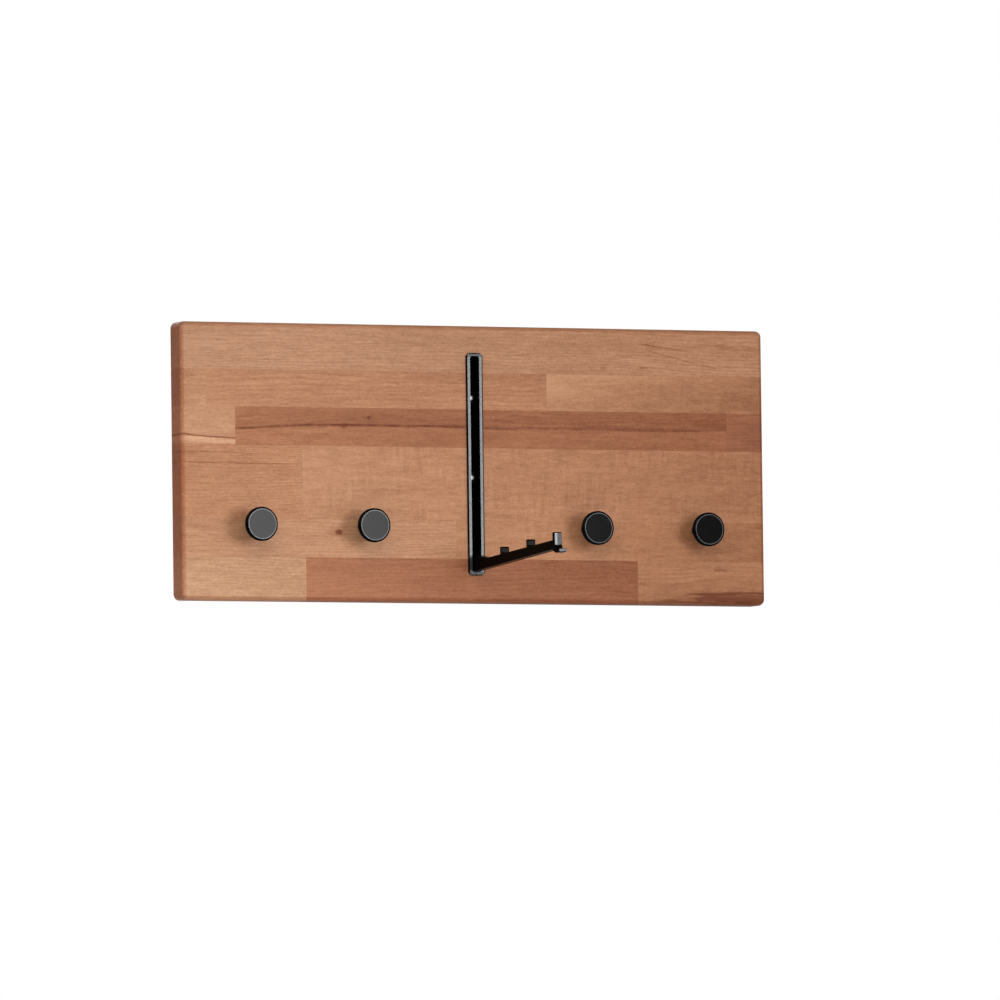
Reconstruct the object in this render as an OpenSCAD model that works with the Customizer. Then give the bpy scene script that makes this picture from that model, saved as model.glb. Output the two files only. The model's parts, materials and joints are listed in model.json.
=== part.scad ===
// Wall hook rack: a glued stave panel with four turned knobs and a fold-out hanger arm
// in a recessed housing. Millimetres. The back face lies in Y = 0, the front faces -Y, +Z is up.

/* [Panel] */
// width of the panel across the wall
panel_width = 600; // [420:10:900]
// height of the panel
panel_height = 260; // [200:5:360]
// thickness of the glued board
panel_thickness = 22; // [20:0.5:32]
// rounding along the front edges
edge_round = 4; // [1.5:0.5:5]
// corner radius seen from the front
corner_radius = 6; // [5.5:0.5:20]

/* [Knobs] */
// diameter of the knob head
knob_diameter = 32; // [24:1:42]
// how far a knob stands out of the panel
knob_reach = 27; // [22:1:45]
// thickness of the knob head at its rim
knob_head_thickness = 5; // [3.5:0.5:8]
// diameter of the knob stem
knob_stem_diameter = 12; // [10:0.5:18]
// width of the bevelled rim on the knob face
knob_rim = 1.8; // [0.6:0.1:2.4]
// distance from the outer knobs to the side edge, and from all knobs to the bottom edge
knob_edge_distance = 70; // [45:1:110]

/* [Housing] */
// gap between the end stop and the top of the channel when the arm is folded
finger_gap = 2.4; // [1.6:0.1:12]
// width of the flange on each side of the channel
flange_width = 3.4; // [2:0.1:5]
// width of the flange at the two ends of the channel
flange_end_width = 2.8; // [2:0.1:5]
// thickness of the flange in front of the panel
flange_thickness = 2.4; // [1.5:0.1:4]
// thickness of the channel walls
wall_thickness = 1.4; // [1:0.1:1.8]
// thickness of the channel floor
floor_thickness = 1.5; // [1.2:0.1:2.5]
// clearance between the housing and its pocket in the board
pocket_play = 0.3; // [0.2:0.05:0.6]
// length of each screw boss
boss_length = 11; // [10:0.5:14]
// clear length between the second separator and the upper screw boss
upper_boss_gap = 17; // [2:0.5:20]

/* [Folding arm] */
// distance from the hinge to the front of the end stop
arm_reach = 191.6; // [130:0.2:230]
// distance from the hinge to the front of the first separator
first_separator = 73.6; // [60:0.2:90]
// width of the arm
arm_width = 7.4; // [6:0.1:12]
// radius of the hinge hub
hub_radius = 8; // [6:0.25:10]
// height of the bar next to the hub
bar_base_height = 9.4; // [6:0.1:11]
// height of the bar at the end stop
bar_tip_height = 8.5; // [5:0.1:10]
// how far the folded arm stands out of the flange
arm_stand_out = 0.9; // [0:0.1:1]
// upward tilt of the arm when folded out, in degrees
open_tilt = 3.5; // [1:0.5:8]
// height of the separators and the end stop above the hinge line
crown_height = 6.8; // [4:0.1:9]
// length of each separator along the arm
separator_length = 5.2; // [4:0.1:8]
// thickness of the end stop
end_stop_thickness = 5.4; // [4:0.1:8]
// length of the finger lip beyond the end stop
lip_length = 9.4; // [6:0.2:14]

/* [Hinge] */
// diameter of the hinge pin
pin_diameter = 4; // [3:0.1:5]
// radial clearance of the arm on its pin
pin_play = 0.03; // [0.02:0.01:0.08]
// thickness of each friction washer
washer_thickness = 0.9; // [0.5:0.1:1.5]
// side clearance between the arm and each washer
side_play = 0.1; // [0.05:0.05:0.2]

/* [Fasteners] */
// shank diameter of the housing screws
housing_screw_diameter = 3.2; // [2.8:0.1:3.6]
// head diameter of the housing screws
housing_screw_head = 5.4; // [5:0.1:6.4]
// thread diameter of the knob screws
knob_screw_diameter = 4; // [4:1:6]
// width of the wall hanger plates
hanger_width = 16; // [14:0.5:20]
// length of the wall hanger plates
hanger_length = 32; // [30:0.5:40]
// thickness of the wall hanger plates
hanger_thickness = 1.6; // [1.2:0.1:2.5]
// diameter of the round entry in the hanger plates
keyhole_entry = 8.4; // [8:0.1:9]
// width of the slot in the hanger plates
keyhole_slot = 4.4; // [4.4:0.1:5]

/* [Hidden] */

beech = [0.78, 0.56, 0.42];
black = [0.08, 0.08, 0.09];
steel = [0.70, 0.71, 0.73];
polymer = [0.20, 0.20, 0.21];

// row heights and joint positions of the staves, as shares of the panel
row_shares = [0, 0.170, 0.303, 0.441, 0.703, 0.843, 1];
joint_2a = 0.044;
joint_2b = 0.625;
joint_3a = 0.092;
joint_3b = 0.936;
joint_4 = 0.205;
joint_5 = 0.467;
joint_6a = 0.210;
joint_6b = 0.779;

// knob layout
knob_z = -panel_height / 2 + knob_edge_distance;
knob_pitch = (panel_width / 2 - knob_edge_distance) / 2;
knob_xs = [-2 * knob_pitch, -knob_pitch, knob_pitch, 2 * knob_pitch];
knob_r = knob_diameter / 2;
stem_r = knob_stem_diameter / 2;
head_back = knob_reach - knob_head_thickness;
knob_bore_depth = knob_reach / 2;
knob_screw_r = knob_screw_diameter / 2;
knob_head_r = knob_screw_r + 1.8;
knob_head_h = 3;
knob_washer_r = knob_head_r + 1.7;
knob_washer_t = 1;
knob_recess_r = knob_washer_r + 0.7;
knob_recess_depth = 6;
knob_flare = 6;
knob_rim_depth = 0.6 * knob_rim;

// housing and channel, with depth measured into the wall from the flange face
hub_gap = 1.4;
floor_gap = 0.5;
face_y = -(panel_thickness + flange_thickness);
channel_width = arm_width + 2 * (washer_thickness + side_play);
body_width = channel_width + 2 * wall_thickness;
flange_outer = channel_width + 2 * flange_width;
channel_height = hub_gap + hub_radius + arm_reach + finger_gap;
housing_height = channel_height + 2 * flange_end_width;
body_height = channel_height + 2 * wall_thickness;
flange_r = 4.2;
channel_r = 2.4;
body_r = channel_r + wall_thickness;
channel_depth = hub_radius + max(hub_radius, crown_height) + floor_gap;
body_depth = channel_depth + floor_thickness;
pocket_depth = body_depth + pocket_play;

// hinge and arm, with u along the arm from the hinge and v above the hinge line
pivot_y = face_y + hub_radius;
pivot_z = -channel_height / 2 + hub_radius + hub_gap;
pin_r = pin_diameter / 2;
pin_length = body_width - 0.2;
washer_r = hub_radius - 1.5;
stop_back = arm_reach - end_stop_thickness;
separator_u1 = first_separator;
separator_u2 = (first_separator + arm_reach) / 2;
gusset_end = 5 * hub_radius;
under_v = -hub_radius - arm_stand_out;
lip_drop = 4;
lip_v = under_v - lip_drop;
lip_thickness = 3.3;
corner_cut = 0.8;

// stop under the folded-out arm, and the screw bosses that the folded arm comes to rest on
stop_start = 2;
stop_front = hub_radius - 1;
stop_foot = -hub_radius - hub_gap - wall_thickness / 2;
rest_play = 0.05;
boss_low_z = pivot_z + separator_u1 + boss_length / 2 + 1;
boss_high_z = pivot_z + separator_u2 + boss_length / 2 + upper_boss_gap;
boss_depth = hub_radius + bar_top(separator_u1 + 1) + rest_play;
screw_seat = boss_depth + 1.9;
screw_r = housing_screw_diameter / 2;
screw_head_r = housing_screw_head / 2;
screw_head_h = 1.6;
screw_rim_h = 0.6;
screw_tip = flange_thickness + panel_thickness - 1.2;
hole_play = 0.2;
pilot_play = 0.02;
cross_width = 0.8;
cross_depth = 0.9;

// wall hanger plates, set into the back
hanger_x = panel_width / 3;
hanger_z = panel_height / 2 - panel_height * (row_shares[1] + row_shares[2]) / 2;
hanger_screw_z = hanger_length / 2 - 3.6;
hanger_play = 0.2;
keyhole_cavity_depth = 7;
keyhole_cavity_width = keyhole_entry + 2.6;
keyhole_cavity_height = 18;
keyhole_entry_z = -3;
keyhole_top_z = 4.6;
plate_screw_r = 1.25;
plate_screw_length = 13;
plate_head_r = 2.4;
plate_head_h = 0.8;
plate_sink_depth = 0.9;

function bar_top(u) = under_v + bar_base_height - (bar_base_height - bar_tip_height) * u / arm_reach;

// upright rounded block whose front is at depth_front and back at depth_back
module rounded_block(width, height, radius, depth_front, depth_back) {
    x = width / 2 - radius;
    z = height / 2 - radius;
    hull() {
        for (sx = [-1, 1]) {
            for (sz = [-1, 1]) {
                translate([sx * x, face_y + depth_back, sz * z])
                    rotate([90, 0, 0])
                        cylinder(r = radius, h = depth_back - depth_front, $fn = 48);
            }
        }
    }
}

// board with rounded corners and rounded front edges
module board_blank() {
    x = panel_width / 2 - corner_radius;
    z = panel_height / 2 - corner_radius;
    straight = panel_thickness - edge_round;
    hull() {
        for (sx = [-1, 1]) {
            for (sz = [-1, 1]) {
                translate([sx * x, 0, sz * z])
                    rotate([90, 0, 0]) {
                        cylinder(r = corner_radius, h = straight, $fn = 40);
                        for (a = [22.5, 45, 67.5, 90]) {
                            cylinder(
                                r = corner_radius - edge_round * (1 - cos(a)),
                                h = straight + edge_round * sin(a),
                                $fn = 40
                            );
                        }
                    }
            }
        }
    }
}

// stepped holes for one knob screw, counterbored from the back
module knob_screw_hole(x) {
    translate([x, 1, knob_z])
        rotate([90, 0, 0])
            cylinder(r = knob_recess_r, h = knob_recess_depth + 1, $fn = 48);
    translate([x, 0, knob_z])
        rotate([90, 0, 0])
            cylinder(r = knob_screw_r + hole_play, h = panel_thickness + 1, $fn = 48);
}

// pocket for the housing, with pilot holes for its screws
module housing_pocket() {
    rounded_block(
        body_width + 2 * pocket_play, body_height + 2 * pocket_play, body_r + pocket_play,
        flange_thickness - 1, pocket_depth
    );
    for (z = [boss_low_z, boss_high_z]) {
        translate([0, face_y + screw_tip, z])
            rotate([90, 0, 0])
                cylinder(r = screw_r + pilot_play, h = screw_tip - pocket_depth + 1, $fn = 32);
    }
}

// recess for one hanger plate, with room for the wall screw's head behind it
module hanger_recess(x) {
    width = hanger_width + 2 * hanger_play;
    length = hanger_length + 2 * hanger_play;
    cavity_low = hanger_z + keyhole_entry_z - keyhole_cavity_width / 2;
    translate([x - width / 2, -hanger_thickness, hanger_z - length / 2])
        cube([width, hanger_thickness + 1, length]);
    translate([x - keyhole_cavity_width / 2, -hanger_thickness - keyhole_cavity_depth, cavity_low])
        cube([keyhole_cavity_width, keyhole_cavity_depth + 1, keyhole_cavity_height]);
    for (sz = [-1, 1]) {
        translate([x, 0, hanger_z + sz * hanger_screw_z])
            rotate([90, 0, 0])
                cylinder(r = plate_screw_r + pilot_play, h = plate_screw_length + 1, $fn = 32);
    }
}

// one stave: the part of the board between two rows and two joints
module stave(row, share_left, share_right) {
    left = share_left == 0 ? -panel_width : (share_left - 0.5) * panel_width;
    right = share_right == 1 ? panel_width : (share_right - 0.5) * panel_width;
    high = row == 1 ? panel_height : (0.5 - row_shares[row - 1]) * panel_height;
    low = row == 6 ? -panel_height : (0.5 - row_shares[row]) * panel_height;
    color(beech)
        difference() {
            intersection() {
                board_blank();
                translate([left, -panel_thickness - 1, low])
                    cube([right - left, panel_thickness + 2, high - low]);
            }
            if (left < body_width && right > -body_width) {
                housing_pocket();
            }
            if (row == 2) {
                for (x = [-hanger_x, hanger_x]) {
                    if (x > left && x < right) {
                        hanger_recess(x);
                    }
                }
            }
            if (low < knob_z + knob_recess_r && high > knob_z - knob_recess_r) {
                for (x = knob_xs) {
                    if (x > left - knob_recess_r && x < right + knob_recess_r) {
                        knob_screw_hole(x);
                    }
                }
            }
        }
}

module stave_1() { stave(1, 0, 1); }
module stave_2() { stave(2, 0, joint_2a); }
module stave_3() { stave(2, joint_2a, joint_2b); }
module stave_4() { stave(2, joint_2b, 1); }
module stave_5() { stave(3, 0, joint_3a); }
module stave_6() { stave(3, joint_3a, joint_3b); }
module stave_7() { stave(3, joint_3b, 1); }
module stave_8() { stave(4, 0, joint_4); }
module stave_9() { stave(4, joint_4, 1); }
module stave_10() { stave(5, 0, joint_5); }
module stave_11() { stave(5, joint_5, 1); }
module stave_12() { stave(6, 0, joint_6a); }
module stave_13() { stave(6, joint_6a, joint_6b); }
module stave_14() { stave(6, joint_6b, 1); }

// stop under the arm: its top follows the underside of the folded-out arm
module open_stop() {
    translate([0, pivot_y, pivot_z])
        rotate([-open_tilt, 0, 0])
            rotate([90, 0, -90])
                linear_extrude(height = channel_width + 1, center = true)
                    polygon([
                        [stop_start, under_v - rest_play],
                        [stop_front, under_v - rest_play],
                        [stop_front, stop_foot],
                        [stop_start, stop_foot]
                    ]);
}

// flanged channel with two screw bosses, a floor, hinge holes and the open stop
module arm_housing() {
    color(black)
        difference() {
            union() {
                difference() {
                    union() {
                        rounded_block(flange_outer, housing_height, flange_r, 0, flange_thickness);
                        rounded_block(body_width, body_height, body_r, 0.5, body_depth);
                    }
                    rounded_block(channel_width, channel_height, channel_r, -1, channel_depth);
                }
                for (z = [boss_low_z, boss_high_z]) {
                    translate([-channel_width / 2 - 0.5, face_y + boss_depth, z - boss_length / 2])
                        cube([channel_width + 1, body_depth - boss_depth - 0.5, boss_length]);
                }
                open_stop();
            }
            translate([0, pivot_y, pivot_z])
                rotate([0, 90, 0])
                    cylinder(r = pin_r - 0.01, h = body_width + 2, center = true, $fn = 48);
            for (z = [boss_low_z, boss_high_z]) {
                translate([0, face_y + screw_seat, z])
                    rotate([90, 0, 0])
                        cylinder(r = screw_head_r + hole_play, h = screw_seat, $fn = 48);
                translate([0, face_y + body_depth + 1, z])
                    rotate([90, 0, 0])
                        cylinder(r = screw_r + hole_play, h = body_depth, $fn = 48);
            }
        }
}

// half outline of a pan-head screw, seated at height 0 with its shank below
module pan_head_outline() {
    crown = [for (a = [0:15:90]) [
        screw_head_r * cos(a),
        screw_rim_h + (screw_head_h - screw_rim_h) * sin(a)
    ]];
    polygon(concat([[0, 0.3 + screw_seat - screw_tip], [screw_r, 0.3 + screw_seat - screw_tip]],
        [[screw_r, 0], [screw_head_r, 0]], crown));
}

// pan-head screws through the bosses into the board, with cross recesses
module housing_screws() {
    color(steel)
        for (z = [boss_low_z, boss_high_z]) {
            translate([0, face_y, z])
                difference() {
                    translate([0, screw_seat, 0])
                        rotate([90, 0, 0])
                            rotate_extrude($fn = 48)
                                pan_head_outline();
                    cross_recess(screw_seat - screw_head_h, 0.45 * housing_screw_head, cross_depth);
                }
        }
}

// cross cut of the given span, cut to the given depth from y inwards
module cross_recess(y, span, depth) {
    translate([-span / 2, y - 1, -cross_width / 2])
        cube([span, depth + 1, cross_width]);
    translate([-cross_width / 2, y - 1, -span / 2])
        cube([cross_width, depth + 1, span]);
}

// side outline of the bar, separators, end stop and finger lip
module arm_outline() {
    polygon([
        [0, under_v],
        [arm_reach - 7.5, under_v],
        [arm_reach - 1, lip_v + 0.4],
        [arm_reach + 1, lip_v],
        [arm_reach + lip_length - 0.6, lip_v],
        [arm_reach + lip_length, lip_v + 0.6],
        [arm_reach + lip_length, lip_v + lip_thickness - 0.5],
        [arm_reach + lip_length - 0.6, lip_v + lip_thickness],
        [arm_reach + 4, lip_v + lip_thickness + 0.4],
        [arm_reach + 1.6, lip_v + lip_thickness + 1],
        [arm_reach + 0.3, lip_v + lip_thickness + 2.5],
        [arm_reach, lip_v + lip_thickness + 4.1],
        [arm_reach, crown_height - corner_cut],
        [arm_reach - corner_cut, crown_height],
        [stop_back + corner_cut, crown_height],
        [stop_back, crown_height - corner_cut],
        [stop_back, bar_top(stop_back)],
        [separator_u2, bar_top(separator_u2)],
        [separator_u2, crown_height - corner_cut],
        [separator_u2 - corner_cut, crown_height],
        [separator_u2 - separator_length + corner_cut, crown_height],
        [separator_u2 - separator_length, crown_height - corner_cut],
        [separator_u2 - separator_length, bar_top(separator_u2 - separator_length)],
        [separator_u1, bar_top(separator_u1)],
        [separator_u1, crown_height - corner_cut],
        [separator_u1 - corner_cut, crown_height],
        [separator_u1 - separator_length + corner_cut, crown_height],
        [separator_u1 - separator_length, crown_height - corner_cut],
        [separator_u1 - separator_length, bar_top(separator_u1 - separator_length)],
        [gusset_end, bar_top(gusset_end)],
        [0.18 * hub_radius, 0.97 * hub_radius],
        [0, 0.9 * hub_radius]
    ]);
}

// fold-out arm in its folded-out position
module hanger_arm() {
    color(black)
        translate([0, pivot_y, pivot_z])
            rotate([-open_tilt, 0, 0])
                difference() {
                    union() {
                        rotate([0, 90, 0])
                            cylinder(r = hub_radius, h = arm_width, center = true, $fn = 96);
                        rotate([90, 0, -90])
                            linear_extrude(height = arm_width, center = true)
                                arm_outline();
                    }
                    rotate([0, 90, 0])
                        cylinder(r = pin_r + pin_play, h = arm_width + 2, center = true, $fn = 48);
                }
}

// hinge pin, pressed into the housing walls
module pivot_pin() {
    color(steel)
        translate([0, pivot_y, pivot_z])
            rotate([0, 90, 0])
                cylinder(r = pin_r, h = pin_length, center = true, $fn = 48);
}

// friction washers between the hub and the channel walls
module friction_washers() {
    color(polymer)
        for (s = [-1, 1]) {
            translate([s * (channel_width - washer_thickness) / 2, pivot_y, pivot_z])
                rotate([0, 90, 0])
                    difference() {
                        cylinder(r = washer_r, h = washer_thickness, center = true, $fn = 48);
                        cylinder(r = pin_r + pin_play, h = washer_thickness + 1, center = true, $fn = 48);
                    }
        }
}

// turned knob: stem, flare and flat head with a bevelled rim, tapped from behind
module knob(x) {
    color(black)
        translate([x, -panel_thickness, knob_z])
            rotate([90, 0, 0])
                rotate_extrude($fn = 96)
                    polygon([
                        [knob_screw_r, 0],
                        [stem_r, 0],
                        [stem_r, head_back - knob_flare],
                        [stem_r + 1.5, head_back - 0.4 * knob_flare],
                        [knob_r - 1.2, head_back],
                        [knob_r, head_back + 0.8],
                        [knob_r, knob_reach - knob_rim_depth],
                        [knob_r - knob_rim, knob_reach],
                        [0, knob_reach],
                        [0, knob_bore_depth],
                        [knob_screw_r, knob_bore_depth]
                    ]);
}

module knob_1() { knob(knob_xs[0]); }
module knob_2() { knob(knob_xs[1]); }
module knob_3() { knob(knob_xs[2]); }
module knob_4() { knob(knob_xs[3]); }

// socket-head screws that hold the knobs from behind
module knob_screws() {
    head_y = -knob_recess_depth + knob_washer_t;
    color(steel)
        for (x = knob_xs) {
            translate([x, 0, knob_z])
                difference() {
                    union() {
                        translate([0, head_y + knob_head_h, 0])
                            rotate([90, 0, 0])
                                cylinder(r = knob_head_r, h = knob_head_h, $fn = 48);
                        translate([0, head_y + 1, 0])
                            rotate([90, 0, 0])
                                cylinder(
                                    r = knob_screw_r - pilot_play,
                                    h = panel_thickness + head_y + knob_bore_depth,
                                    $fn = 48
                                );
                    }
                    translate([0, head_y + knob_head_h + 1, 0])
                        rotate([90, 0, 0])
                            cylinder(r = 0.9 * knob_screw_r, h = 0.6 * knob_head_h + 1, $fn = 6);
                }
        }
}

// washers under the knob screw heads
module knob_washers() {
    color(steel)
        for (x = knob_xs) {
            translate([x, -knob_recess_depth + knob_washer_t, knob_z])
                rotate([90, 0, 0])
                    difference() {
                        cylinder(r = knob_washer_r, h = knob_washer_t, $fn = 48);
                        translate([0, 0, -1])
                            cylinder(r = knob_screw_r + 0.15, h = knob_washer_t + 2, $fn = 48);
                    }
        }
}

// wall hanger plate with a keyhole and two screw holes, flush with the back
module hanger_plate(x) {
    color(steel)
        translate([x, 0, hanger_z])
            difference() {
                translate([-hanger_width / 2, -hanger_thickness, -hanger_length / 2])
                    cube([hanger_width, hanger_thickness, hanger_length]);
                translate([0, 1, keyhole_entry_z])
                    rotate([90, 0, 0])
                        cylinder(r = keyhole_entry / 2, h = hanger_thickness + 2, $fn = 48);
                translate([-keyhole_slot / 2, -hanger_thickness - 1, keyhole_entry_z])
                    cube([keyhole_slot, hanger_thickness + 2, keyhole_top_z - keyhole_entry_z]);
                translate([0, 1, keyhole_top_z])
                    rotate([90, 0, 0])
                        cylinder(r = keyhole_slot / 2 + 0.1, h = hanger_thickness + 2, $fn = 48);
                for (sz = [-1, 1]) {
                    translate([0, 1, sz * hanger_screw_z])
                        rotate([90, 0, 0])
                            cylinder(r = plate_screw_r + hole_play, h = hanger_thickness + 2, $fn = 48);
                    translate([0, 1, sz * hanger_screw_z])
                        rotate([90, 0, 0])
                            cylinder(r = plate_head_r + hole_play, h = plate_sink_depth + 1, $fn = 48);
                }
            }
}

module hanger_plate_left() { hanger_plate(-hanger_x); }
module hanger_plate_right() { hanger_plate(hanger_x); }

// screws of the hanger plates, with flat heads below the back face
module hanger_plate_screws() {
    color(steel)
        for (x = [-hanger_x, hanger_x]) {
            for (sz = [-1, 1]) {
                translate([x, 0, hanger_z + sz * hanger_screw_z])
                    difference() {
                        union() {
                            translate([0, plate_head_h - plate_sink_depth, 0])
                                rotate([90, 0, 0])
                                    cylinder(r = plate_head_r, h = plate_head_h, $fn = 48);
                            translate([0, -plate_head_h / 2, 0])
                                rotate([90, 0, 0])
                                    cylinder(r = plate_screw_r, h = plate_screw_length, $fn = 48);
                        }
                        translate([-plate_head_r / 2, -plate_head_h / 2, -cross_width / 4])
                            cube([plate_head_r, 1, cross_width / 2]);
                        translate([-cross_width / 4, -plate_head_h / 2, -plate_head_r / 2])
                            cube([cross_width / 2, 1, plate_head_r]);
                    }
            }
        }
}

stave_1();
stave_2();
stave_3();
stave_4();
stave_5();
stave_6();
stave_7();
stave_8();
stave_9();
stave_10();
stave_11();
stave_12();
stave_13();
stave_14();
arm_housing();
housing_screws();
hanger_arm();
pivot_pin();
friction_washers();
knob_1();
knob_2();
knob_3();
knob_4();
knob_screws();
knob_washers();
hanger_plate_left();
hanger_plate_right();
hanger_plate_screws();
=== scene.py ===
import json
import math
import bpy
from mathutils import Matrix, Vector


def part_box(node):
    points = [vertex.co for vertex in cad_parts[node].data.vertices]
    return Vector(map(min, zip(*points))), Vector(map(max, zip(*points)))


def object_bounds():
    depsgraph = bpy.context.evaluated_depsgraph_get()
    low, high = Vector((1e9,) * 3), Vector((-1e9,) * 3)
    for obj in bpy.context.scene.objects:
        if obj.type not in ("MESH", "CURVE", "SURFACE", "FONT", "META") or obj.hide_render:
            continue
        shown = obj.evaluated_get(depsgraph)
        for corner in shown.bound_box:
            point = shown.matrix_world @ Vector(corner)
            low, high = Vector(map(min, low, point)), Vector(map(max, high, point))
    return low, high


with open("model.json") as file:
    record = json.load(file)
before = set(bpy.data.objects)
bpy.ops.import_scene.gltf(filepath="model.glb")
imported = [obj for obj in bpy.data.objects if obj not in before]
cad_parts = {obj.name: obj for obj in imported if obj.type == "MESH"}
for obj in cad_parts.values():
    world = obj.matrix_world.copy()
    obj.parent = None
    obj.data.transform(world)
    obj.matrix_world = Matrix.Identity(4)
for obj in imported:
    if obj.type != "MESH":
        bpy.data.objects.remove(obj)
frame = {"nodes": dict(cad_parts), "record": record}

cad_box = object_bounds()
nodes = frame["nodes"]
record = frame["record"]


class Value:
    """A socket of a node tree that takes part in Python arithmetic."""

    def __init__(self, finish, socket):
        self.finish = finish
        self.socket = socket

    def math(self, operation, *others, swap=False):
        terms = [self, *others]
        if swap:
            terms = terms[::-1]
        return self.finish.node("ShaderNodeMath", {"operation": operation}, dict(enumerate(terms)))

    def __add__(self, other):
        return self.math("ADD", other)

    __radd__ = __add__

    def __sub__(self, other):
        return self.math("SUBTRACT", other)

    def __rsub__(self, other):
        return self.math("SUBTRACT", other, swap=True)

    def __mul__(self, other):
        return self.math("MULTIPLY", other)

    __rmul__ = __mul__

    def __truediv__(self, other):
        return self.math("DIVIDE", other)

    def __rtruediv__(self, other):
        return self.math("DIVIDE", other, swap=True)

    def __pow__(self, other):
        return self.math("POWER", other)

    def __neg__(self):
        return self * -1.0

    def __abs__(self):
        return self.math("ABSOLUTE")

    def part(self, name):
        return Value(self.finish, self.socket.node.outputs[name])


class Nodes:
    """A node tree, with a plain way to add nodes to it."""

    def __init__(self, tree):
        self.tree = tree

    def node(self, kind, settings, inputs):
        made = self.tree.nodes.new(kind)
        for key, value in settings.items():
            setattr(made, key, value)
        for key, value in inputs.items():
            self.feed(made.inputs[key], value)
        first = next((s for s in made.outputs if s.enabled), None)
        return Value(self, first) if first else made

    def feed(self, socket, value):
        if isinstance(value, Value):
            self.tree.links.new(value.socket, socket)
        else:
            socket.default_value = value

    def ramp(self, value, low, high, kind="SMOOTHSTEP"):
        """0 below low, 1 above high, and smooth between them."""
        return self.node(
            "ShaderNodeMapRange", {"interpolation_type": kind},
            {"Value": value, "From Min": low, "From Max": high, "To Min": 0.0, "To Max": 1.0},
        )

    def blend(self, factor, a, b, mode="MIX"):
        colours = [c if isinstance(c, Value) else (*c, 1.0) for c in (a, b)]
        settings = {"data_type": "RGBA", "blend_type": mode}
        return self.node("ShaderNodeMix", settings, {0: factor, 6: colours[0], 7: colours[1]}).part(2)


class Finish(Nodes):
    """One material, with the place on the piece at hand as x, y and z."""

    def __init__(self, name):
        self.material = bpy.data.materials.new(name)
        self.material.use_nodes = True
        super().__init__(self.material.node_tree)
        self.shader = self.tree.nodes["Principled BSDF"]
        self.place = self.node("ShaderNodeTexCoord", {}, {}).part("Object")
        split = self.node("ShaderNodeSeparateXYZ", {}, {0: self.place})
        self.x, self.y, self.z = split.part("X"), split.part("Y"), split.part("Z")

    def noise(self, where, scale, detail=2.0, rough=0.5, warp=0.0):
        """Smooth random values about 0."""
        sockets = {"Vector": where, "Scale": scale, "Detail": detail, "Roughness": rough, "Distortion": warp}
        return self.node("ShaderNodeTexNoise", {}, sockets) - 0.5

    def stretch(self, where, scales, shift=(0.0, 0.0, 0.0)):
        return self.node("ShaderNodeMapping", {}, {"Vector": where, "Location": shift, "Scale": scales})

    def band(self, value, low, high, soft):
        return self.ramp(value, low - soft, low + soft) * (1.0 - self.ramp(value, high - soft, high + soft))

    def line(self, distance, width):
        """1 on a line and 0 beyond its width."""
        return 1.0 - self.ramp(abs(distance), width * 0.25, width)

    def bump(self, height, strength, distance):
        made = self.node("ShaderNodeBump", {}, {"Height": height, "Strength": strength, "Distance": distance})
        self.feed(self.shader.inputs["Normal"], made)

    def surface(self, **inputs):
        for key, value in inputs.items():
            self.feed(self.shader.inputs[key.replace("_", " ")], value)


def dress(name, material):
    nodes[name].data.materials.clear()
    nodes[name].data.materials.append(material)


# sizes of the pieces, from the model
panel_high = Vector(cad_box[1])
knob_boxes = {name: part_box(name) for name in ("knob_1", "knob_2", "knob_3", "knob_4")}
hinge = next(j for j in record["behaviour"]["joints"] if j["name"] == "arm_hinge")["pos_m"]
arm_reach = 0.1916  # from the hinge to the face of the end stop
tilt = math.radians(3.5)  # of the bar above level, when the arm is folded out


# beech -------------------------------------------------------------------------------------

# how far the panel's rounded edges and its end grain reach in; the rounded edges take painted shade, darker
# along the bottom edge than the top, and the oil darkens the end grain
EDGE_ROUND = 0.0038
END_GRAIN_DEPTH = 0.0012
END_EDGE_SHADE = (0.87, 0.73, 0.68)
TOP_EDGE_SHADE = (0.88, 0.80, 0.76)
LOW_EDGE_SHADE = (0.76, 0.66, 0.62)
END_GRAIN = (1.0, 0.85, 0.81)

# a stave's darker wood, its lighter wood and the brown of its marks, as shares of its tone
DARK_WOOD = (0.67, 0.56, 0.48)
LIGHT_WOOD = (1.36, 1.52, 1.66)
MARK_BROWN = (0.42, 0.24, 0.15)

GLUE_LINE = 0.0004


def shade(colour, shares):
    return [min(c * k, 1.0) for c, k in zip(colour, shares)]


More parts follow.
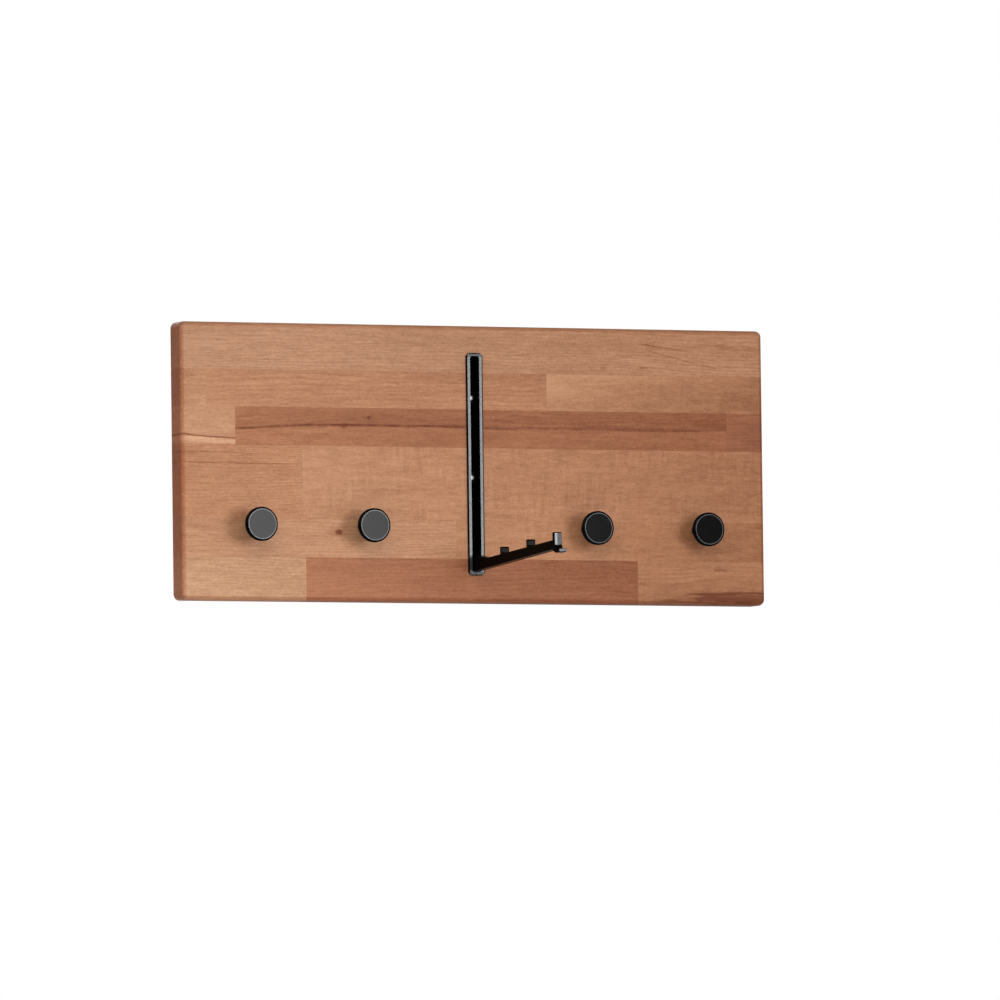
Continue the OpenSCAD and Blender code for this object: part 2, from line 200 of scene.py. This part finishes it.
def beech(stave, seed, tone, pith, rings, ring_depth, figure=0.0, lean=(0.0, 0.0), marks=()):
    """
    Oiled beech with its grain along X. tone is the middle colour; pith is where the tree's
    centre lay in Y and Z; rings is how many growth rings there are in a metre, and ring_depth
    how dark they are; figure is the strength of the cross bars of a quartered face; lean is how
    much lighter it grows along X and Z in 100 mm; marks are functions that each draw one flaw.
    """
    f = Finish("beech_" + stave)
    low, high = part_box(stave)
    shift = (seed * 1.73, seed * 0.61, seed * 2.17)
    turned_shift = (shift[2], shift[0], shift[1])
    drift = f.noise(f.stretch(f.place, (2.6, 16.0, 16.0), shift), 1.0, 2.0)
    sway = f.noise(f.stretch(f.place, (5.0, 26.0, 26.0), turned_shift), 1.0, 3.0, 0.55)
    ripple = f.noise(f.stretch(f.place, (28.0, 60.0, 60.0), shift), 1.0, 2.0)
    from_pith = f.node("ShaderNodeCombineXYZ", {}, {
        0: 0.0,
        1: f.y - pith[0] + sway * 0.016,
        2: f.z - pith[1] + drift * 0.034 + ripple * 0.0022,
    })
    radius = f.node("ShaderNodeVectorMath", {"operation": "LENGTH"}, {0: from_pith}).part("Value")
    ring = (radius * rings + drift * 3.0).math("FRACT")
    late = f.ramp(ring, 0.35, 0.95) * (1.0 - f.ramp(ring, 0.95, 1.0))
    patch = f.noise(f.stretch(f.place, (6.0, 46.0, 46.0), turned_shift), 1.0, 2.0)
    vein = f.noise(f.stretch(f.place, (30.0, 210.0, 210.0), turned_shift), 1.0, 3.0, 0.65)
    fibre = f.noise(f.stretch(f.place, (150.0, 640.0, 640.0), shift), 1.0, 3.0, 0.65)
    speck = f.noise(f.place, 420.0, 2.0, 0.6)
    rays = f.stretch(f.place, (190.0, 760.0, 760.0), shift)
    cells = {"Vector": rays, "Scale": 1.0, "Randomness": 1.0}
    fleck = 1.0 - f.ramp(f.node("ShaderNodeTexVoronoi", {"feature": "F1"}, cells), 0.12, 0.36)
    tint = drift * 0.34 + patch * 0.36 + vein * 0.70 + fibre * 0.76 + speck * 0.42
    tint = tint - (late - 0.3) * ring_depth * (1.0 + patch * 4.0) - fleck * 0.13
    if figure:
        bars = f.noise(f.stretch(f.place, (230.0, 200.0, 34.0), shift), 1.0, 3.0, 0.6, 0.5)
        where = f.ramp(f.noise(f.stretch(f.place, (18.0, 18.0, 30.0), shift), 1.0, 1.0), -0.10, 0.12)
        tint = tint + bars * where * figure
    for mark in marks:
        tint = tint - mark(f)
    middle = ((low[0] + high[0]) / 2, (low[2] + high[2]) / 2)
    tint = tint + (f.x - middle[0]) * (lean[0] * 10.0) + (f.z - middle[1]) * (lean[1] * 10.0)
    glue = f.line(f.x - low[0], GLUE_LINE) + f.line(f.x - high[0], GLUE_LINE)
    glue = glue + f.line(f.z - low[2], GLUE_LINE) + f.line(f.z - high[2], GLUE_LINE)
    tint = tint - glue * 0.10
    level = tint + 0.5
    lower = f.blend(f.ramp(level, 0.0, 0.5, "LINEAR"), shade(tone, DARK_WOOD), tone)
    colour = f.blend(f.ramp(level, 0.5, 1.0, "LINEAR"), lower, shade(tone, LIGHT_WOOD))
    colour = f.blend(f.ramp(-level, 0.0, 0.5, "LINEAR"), colour, shade(tone, MARK_BROWN))
    # painted shade on the rounded ends and on the top and bottom edges, then the end grain's own oil-darkened
    # colour
    for distance, reach, wash in (
        (panel_high.x - abs(f.x), EDGE_ROUND, END_EDGE_SHADE),
        (panel_high.z - f.z, EDGE_ROUND, TOP_EDGE_SHADE),
        (panel_high.z + f.z, EDGE_ROUND, LOW_EDGE_SHADE),
        (panel_high.x - abs(f.x), END_GRAIN_DEPTH, END_GRAIN),
    ):
        rounded = 1.0 - f.ramp(distance, reach - 0.0010, reach + 0.0006)
        colour = f.blend(rounded, colour, f.blend(1.0, colour, wash, "MULTIPLY"))
    rough = 0.50 + fibre * 0.20 + fleck * 0.10
    f.surface(Base_Color=colour, Roughness=rough, Specular_IOR_Level=0.22)
    f.bump(fibre * 0.6 + vein * 0.3 - fleck * 0.4, 0.24, 0.0004)
    return f.material



def knot(x, z, size, depth):
    """A small round knot with darker wood drawn out along the grain beside it."""
    def draw(f):
        rough = f.noise(f.place, 700.0, 2.0) * 0.5
        dx, dz = (f.x - x) / size, (f.z - z) / size
        core = (dx * dx * 0.7 + dz * dz) ** 0.5 + rough
        halo = (dx * dx * 0.10 + dz * dz) ** 0.5 + rough
        return (1.0 - f.ramp(core, 0.4, 1.1)) * depth + (1.0 - f.ramp(halo, 0.3, 1.6)) * depth * 0.35
    return draw


def streak(start, end, width, depth, rise=0.0):
    """A thin dark line along the grain from one point to another in X and Z, which fades at its ends."""
    climb = (end[1] - start[1]) / (end[0] - start[0])
    fade = (end[0] - start[0]) * 0.12

    def draw(f):
        wander = f.noise(f.stretch(f.place, (30.0, 30.0, 30.0)), 1.0, 2.0) * rise
        height = f.z - start[1] - (f.x - start[0]) * climb + wander
        return f.line(height, width) * f.band(f.x, start[0] + fade, end[0] - fade, fade) * depth
    return draw


def heart_line(f):
    """The brown streak along the third row, fainter to the right, with darker wood above it."""
    wander = f.noise(f.stretch(f.place, (9.0, 9.0, 9.0), (3.1, 0.4, 1.2)), 1.0, 3.0, 0.6)
    start_dip = (1.0 - f.ramp(f.x, -0.245, -0.15, "LINEAR")) * 0.005
    above = f.z - 0.0352 + start_dip + wander * 0.006
    fading = 1.0 - 0.5 * f.ramp(f.x, -0.08, 0.06)
    broken = 0.60 + 0.40 * f.ramp(f.noise(f.place, 90.0, 2.0), -0.1, 0.1)
    core = f.band(above, -0.0016, 0.0004, 0.0011) * fading * broken
    wash = f.ramp(above, -0.002, 0.001) * (1.0 - 0.6 * f.ramp(above, 0.001, 0.016))
    return core + wash * 0.30


def red_mark(f):
    """Red heartwood along the lower edge of the last stave."""
    wander = f.noise(f.stretch(f.place, (18.0, 120.0, 120.0), (0.4, 2.0, 5.0)), 1.0, 3.0)
    low_edge = 1.0 - f.ramp(f.z, -0.1255, -0.1150)
    reach = f.ramp(f.x, 0.175, 0.235)
    crack = f.z + 0.1190 - (f.x - 0.255) * 0.03 + wander * 0.006
    dark = f.line(crack, 0.0014) * f.band(f.x, 0.222, 0.300, 0.006)
    return low_edge * reach * (0.24 + 0.7 * f.ramp(wander, -0.10, 0.12)) + dark * 0.6


# the staves' figure by how they were sawn, and each stave in turn, row by row from the top
FLAT = dict(rings=430.0, ring_depth=0.13)
QUARTERED = dict(rings=560.0, ring_depth=0.07)
STAVES = {
    "stave_1": dict(
        tone=(0.433, 0.208, 0.109), pith=(0.05, 0.180), lean=(-0.06, -0.01), **FLAT,
        marks=(
            streak((0.165, 0.1166), (0.226, 0.1095), 0.0011, 0.46, 0.002),
            streak((0.172, 0.1120), (0.262, 0.0905), 0.0010, 0.30, 0.003),
            streak((0.096, 0.1150), (0.118, 0.1140), 0.0014, 0.12, 0.002),
            streak((0.131, 0.0922), (0.138, 0.0922), 0.0014, 0.40),
            streak((0.172, 0.0932), (0.181, 0.0930), 0.0014, 0.42),
            streak((0.246, 0.1150), (0.300, 0.1120), 0.0032, 0.24, 0.006))),
    "stave_2": dict(
        tone=(0.483, 0.230, 0.118), pith=(0.06, 0.020), lean=(0.60, -0.41), **FLAT),
    "stave_3": dict(
        tone=(0.446, 0.199, 0.099), pith=(0.04, 0.110), lean=(-0.06, -0.28), **FLAT),
    "stave_4": dict(
        tone=(0.391, 0.176, 0.084), pith=(0.09, 0.040), lean=(-0.29, 0.42), **QUARTERED,
        figure=0.3),
    "stave_5": dict(
        tone=(0.525, 0.259, 0.138), pith=(0.07, 0.060), lean=(-0.06, 0.18), **FLAT,
        marks=(
            streak((-0.312, 0.0250), (-0.228, 0.0205), 0.0011, 0.85, 0.004),
            streak((-0.312, 0.0212), (-0.222, 0.0172), 0.0036, -0.34, 0.003))),
    "stave_6": dict(
        tone=(0.360, 0.136, 0.059), pith=(0.03, 0.000), lean=(-0.09, 0.06), **FLAT,
        marks=(
            heart_line,
            knot(-0.134, 0.034, 0.0030, 0.48),
            knot(-0.1085, 0.0423, 0.0018, 0.60))),
    "stave_7": dict(
        tone=(0.259, 0.087, 0.038), pith=(0.06, 0.110), lean=(-0.28, 0.39), **FLAT),
    "stave_8": dict(
        tone=(0.481, 0.217, 0.106), pith=(0.02, -0.090), lean=(-0.01, -0.07), **FLAT,
        marks=(
            streak((-0.312, -0.0012), (-0.172, -0.0026), 0.0012, 0.40, 0.002),
            streak((-0.330, 0.0090), (-0.210, 0.0070), 0.0014, 0.24, 0.003))),
    "stave_9": dict(
        tone=(0.416, 0.184, 0.089), pith=(0.30, 0.020), lean=(-0.12, 0.01), **QUARTERED,
        figure=0.8,
        marks=(
            streak((-0.180, -0.0268), (-0.04, -0.0245), 0.0010, 0.16, 0.002),
            streak((-0.095, -0.0445), (-0.01, -0.0450), 0.0009, 0.12, 0.001))),
    "stave_10": dict(
        tone=(0.484, 0.233, 0.120), pith=(0.05, -0.140), lean=(-0.03, -0.13), **FLAT,
        marks=(knot(-0.1405, -0.0652, 0.0036, 0.80),)),
    "stave_11": dict(
        tone=(0.383, 0.164, 0.075), pith=(0.26, -0.080), lean=(-0.21, -0.21), **QUARTERED,
        figure=0.4),
    "stave_12": dict(
        tone=(0.546, 0.288, 0.156), pith=(0.04, -0.200), lean=(-0.14, -0.27), **FLAT),
    "stave_13": dict(
        tone=(0.341, 0.123, 0.054), pith=(0.03, -0.060), lean=(-0.16, -0.10),
        rings=430.0, ring_depth=0.14),
    "stave_14": dict(
        tone=(0.359, 0.151, 0.069), pith=(0.08, -0.150), lean=(-0.03, 0.85), **FLAT,
        marks=(
            red_mark,
            streak((0.245, -0.0968), (0.262, -0.0972), 0.0015, 0.42, 0.001))),
}
for number, (stave, facts) in enumerate(STAVES.items(), 1):
    dress(stave, beech(stave, float(number), **facts))


# black metal with bright-cut edges ---------------------------------------------------------

BLACK_DEEP = (0.0008, 0.0008, 0.0010)
BLACK_PALE = (0.0018, 0.0018, 0.0022)
BRIGHT_CUT = (0.17, 0.175, 0.18)
KNOB_BRIGHT_CUT = (0.085, 0.088, 0.094)
KNOB_BEVEL = 0.0018


def black_metal(name, shine, bright, bright_colour=BRIGHT_CUT, turned=None):
    """
    Satin black anodising. shine is its specular level; bright gives a mask of the edges that are
    cut back to bare metal, which on the arm also holds a painted reflection; turned is the centre of a face
    that was turned on a lathe.
    """
    f = Finish(name)
    fine = f.noise(f.place, 1400.0, 3.0, 0.6)
    cloud = f.noise(f.place, 60.0, 2.0)
    height = fine * 0.5
    if turned:
        dx, dz = f.x - turned[0], f.z - turned[1]
        radius = (dx * dx + dz * dz) ** 0.5
        lathe = f.noise(f.node("ShaderNodeCombineXYZ", {}, {0: radius, 1: 0.0, 2: 0.0}), 2600.0, 2.0, 0.7)
        height = height + lathe
    mask = bright(f)
    black = f.blend(cloud + 0.5, BLACK_DEEP, BLACK_PALE)
    bare = f.blend(fine + 0.5, shade(bright_colour, (0.85, 0.85, 0.85)), bright_colour)
    base = f.blend(mask, black, bare)
    rough = (0.19 + cloud * 0.08 + fine * 0.06) * (1.0 - mask) + (0.36 + fine * 0.1) * mask
    if turned:
        faced = 1.0 - f.ramp(f.y, turned[2] + 0.0002, turned[2] + 0.0005)
        f.surface(Coat_Weight=faced * 0.24, Coat_Roughness=0.17)
    f.surface(Base_Color=base, Metallic=mask, Roughness=rough, Specular_IOR_Level=shine)
    f.bump(height, 0.10, 0.0002)
    return f.material


def wear(f, mask):
    """Breaks the mask up a little, as a machine-cut edge catches the light unevenly."""
    return mask * (0.86 + 0.14 * f.ramp(f.noise(f.place, 420.0, 2.0), -0.15, 0.15))


def knob_rim(low, high):
    """The fine bright line where the knob's face meets its black bevel."""
    cx, cz = (low[0] + high[0]) / 2, (low[2] + high[2]) / 2
    edge = (high[0] - low[0]) / 2 - KNOB_BEVEL

    def mask(f):
        dx, dz = f.x - cx, f.z - cz
        out = (dx * dx + dz * dz) ** 0.5
        front = 1.0 - f.ramp(f.y, low[1] + 0.0006, low[1] + 0.0009)
        return wear(f, f.band(out, edge - 0.0006, edge, 0.0001) * front)

    return mask


for name, (low, high) in knob_boxes.items():
    centre = ((low[0] + high[0]) / 2, (low[2] + high[2]) / 2, low[1])
    rim = knob_rim(low, high)
    dress(name, black_metal("black_" + name, 0.02, rim, KNOB_BRIGHT_CUT, centre))


def flange_face(f):
    """The front of the flange up to a thin black border, duller at its two ends."""
    low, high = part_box("arm_housing")
    middle, half = (low[2] + high[2]) / 2, (high[2] - low[2]) / 2
    front = 1.0 - f.ramp(f.y, low[1] + 0.0003, low[1] + 0.0006)
    inside_x = 1.0 - f.ramp(abs(f.x), high[0] - 0.0010, high[0] - 0.0006)
    inside_z = 1.0 - f.ramp(abs(f.z), high[2] - 0.0010, high[2] - 0.0006)
    ends = f.ramp(abs(f.z - middle), half - 0.0040, half - 0.0030)
    return wear(f, front * inside_x * inside_z * (0.80 - 0.35 * ends))


def arm_faces(f):
    """The front of the end stop, the tops of the separators and the edge of the finger lip, cut back to bare
    metal; the end stop's face also carries a painted reflection that makes its left part brighter.
    """
    along = (hinge[1] - f.y) * math.cos(tilt) + (f.z - hinge[2]) * math.sin(tilt)
    up = (f.z - hinge[2]) * math.cos(tilt) + (f.y - hinge[1]) * math.sin(tilt)
    end_stop = f.ramp(along, arm_reach - 0.0003, arm_reach - 0.0001)
    end_stop = end_stop * f.band(up, -0.0052, 0.0058, 0.0003)
    # painted reflection: the end stop's face is brighter on its left part than on its right
    end_stop = end_stop * (0.42 + 0.58 * (1.0 - f.ramp(f.x, -0.0016, -0.0006)))
    separators = f.ramp(along, 0.06, 0.065) * (1.0 - f.ramp(along, 0.15, 0.16))
    separators = separators * f.ramp(up, 0.0012, 0.0016) * (1.0 - f.ramp(up, 0.0050, 0.0056))
    lip = f.ramp(along, arm_reach + 0.0086, arm_reach + 0.0090)
    lip = lip * f.band(up, -0.0126, -0.0096, 0.0003)
    return wear(f, end_stop + lip * 0.6 + separators * 0.12)


dress("arm_housing", black_metal("black_arm_housing", 0.01, flange_face))
dress("hanger_arm", black_metal("black_hanger_arm", 0.01, arm_faces))


# small hardware ----------------------------------------------------------------------------

ZINC = (0.55, 0.56, 0.58)
DARK_ZINC = (0.50, 0.505, 0.515)
ACETAL_DARK = (0.05, 0.05, 0.05)
ACETAL_PALE = (0.08, 0.08, 0.08)
ZINC_PIECES = (
    "pivot_pin", "knob_screws", "knob_washers",
    "hanger_plate_left", "hanger_plate_right", "hanger_plate_screws",
)


def plated_steel(name, colour, rough):
    f = Finish(name)
    fine = f.noise(f.place, 900.0, 3.0, 0.6)
    cloud = f.noise(f.place, 120.0, 2.0)
    base = f.blend(cloud + 0.5, shade(colour, (0.82, 0.82, 0.82)), colour)
    f.surface(Base_Color=base, Metallic=1.0, Roughness=rough + fine * 0.2)
    f.bump(fine, 0.08, 0.0002)
    return f.material


def acetal(name):
    f = Finish(name)
    fine = f.noise(f.place, 1600.0, 2.0)
    base = f.blend(fine + 0.5, ACETAL_DARK, ACETAL_PALE)
    f.surface(Base_Color=base, Roughness=0.5 + fine * 0.1)
    f.bump(fine, 0.06, 0.0002)
    return f.material


zinc = plated_steel("zinc_plated_steel", ZINC, 0.32)
for name in ZINC_PIECES:
    dress(name, zinc)
dress("housing_screws", plated_steel("dark_plated_steel", DARK_ZINC, 0.40))
dress("friction_washers", acetal("friction_acetal"))


def soften(name, width):
    """Rounds a node's sharp edges a little, as on a cast, turned or sanded piece."""
    weld = nodes[name].modifiers.new("weld", "WELD")
    weld.merge_threshold = 1e-6
    bevel = nodes[name].modifiers.new("edge_round", "BEVEL")
    bevel.width = width
    bevel.segments = 3
    bevel.limit_method = "ANGLE"
    bevel.angle_limit = math.radians(30.0)
    bevel.harden_normals = True
    bevel.use_clamp_overlap = True


for name in knob_boxes:
    soften(name, 0.00025)
soften("hanger_arm", 0.0004)
soften("arm_housing", 0.00025)


# floor, light and camera -------------------------------------------------------------------

FLOOR_HEIGHT = -1.60
FLOOR_DARK = (0.82, 0.82, 0.82)
FLOOR_PALE = (0.86, 0.86, 0.86)
WHITE = (1.0, 1.0, 1.0, 1.0)

floor_mesh = bpy.data.meshes.new("floor")
floor_mesh.from_pydata([(-8, -9, 0), (8, -9, 0), (8, 7, 0), (-8, 7, 0)], [], [(0, 1, 2, 3)])
floor = bpy.data.objects.new("floor", floor_mesh)
floor.location = (0, 0, FLOOR_HEIGHT)
bpy.context.collection.objects.link(floor)
pale = Finish("pale_floor")
speckle = pale.noise(pale.place, 30.0, 3.0) + 0.5
pale.surface(Base_Color=pale.blend(speckle, FLOOR_DARK, FLOOR_PALE), Roughness=0.7)
pale.surface(Emission_Color=WHITE, Emission_Strength=0.16)
floor_mesh.materials.append(pale.material)

world = bpy.data.worlds.new("studio")
bpy.context.scene.world = world
world.use_nodes = True
world.node_tree.nodes.clear()
sky = Nodes(world.node_tree)
direction = sky.node("ShaderNodeTexCoord", {}, {}).part("Generated")
rise = sky.node("ShaderNodeSeparateXYZ", {}, {0: direction}).part("Z")
glow = 0.10 + 0.22 * sky.ramp(rise, -0.35, 0.45)
fill = sky.node("ShaderNodeBackground", {}, {"Color": WHITE, "Strength": glow})
backdrop = sky.node("ShaderNodeBackground", {}, {"Color": WHITE, "Strength": 1.0})
seen = sky.node("ShaderNodeLightPath", {}, {}).part("Is Camera Ray")
both = sky.node("ShaderNodeMixShader", {}, {0: seen, 1: fill, 2: backdrop})
sky.node("ShaderNodeOutputWorld", {}, {0: both})


def soft_light(name, place, target, width, height, watts):
    lamp = bpy.data.lights.new(name, "AREA")
    lamp.shape = "RECTANGLE"
    lamp.size, lamp.size_y = width, height
    lamp.energy = watts
    holder = bpy.data.objects.new(name, lamp)
    holder.location = place
    holder.rotation_euler = (Vector(target) - Vector(place)).to_track_quat("-Z", "Y").to_euler()
    holder.visible_camera = False
    bpy.context.collection.objects.link(holder)


soft_light("window_right", (0.57, -2.2, 0.12), (0.57, 0.0, 0.12), 0.72, 0.96, 21)
soft_light("softbox_left", (-1.5, -3.0, 1.5), (0.0, 0.0, 0.0), 3.0, 2.4, 53)
soft_light("behind", (0.0, 3.0, 0.5), (0.0, 0.0, 0.0), 1.0, 1.6, 36)

azimuth, elevation, roll = math.radians(-24.521), math.radians(-3.269), math.radians(-0.73)
distance = 16.195
aim_right, aim_down = 0.032837, 0.032283  # from the panel's centre to the middle of the view
level_share = math.cos(elevation)
back = Vector((
    math.sin(azimuth) * level_share,
    -math.cos(azimuth) * level_share,
    math.sin(elevation),
))
level_right = Vector((math.cos(azimuth), math.sin(azimuth), 0.0))
level_up = back.cross(level_right)
right = level_right * math.cos(roll) + level_up * math.sin(roll)
up = level_up * math.cos(roll) - level_right * math.sin(roll)
aim = right * aim_right - up * aim_down
camera_data = bpy.data.cameras.new("camera")
camera_data.sensor_width = 36.0
camera_data.lens = 620.532
camera_data.clip_start = 0.1
camera_data.clip_end = 60.0
camera = bpy.data.objects.new("camera", camera_data)
turn = Matrix((right, up, back)).transposed().to_4x4()
camera.matrix_world = Matrix.Translation(aim + back * distance) @ turn
bpy.context.collection.objects.link(camera)
bpy.context.scene.camera = camera
bpy.context.scene.view_settings.view_transform = "Standard"
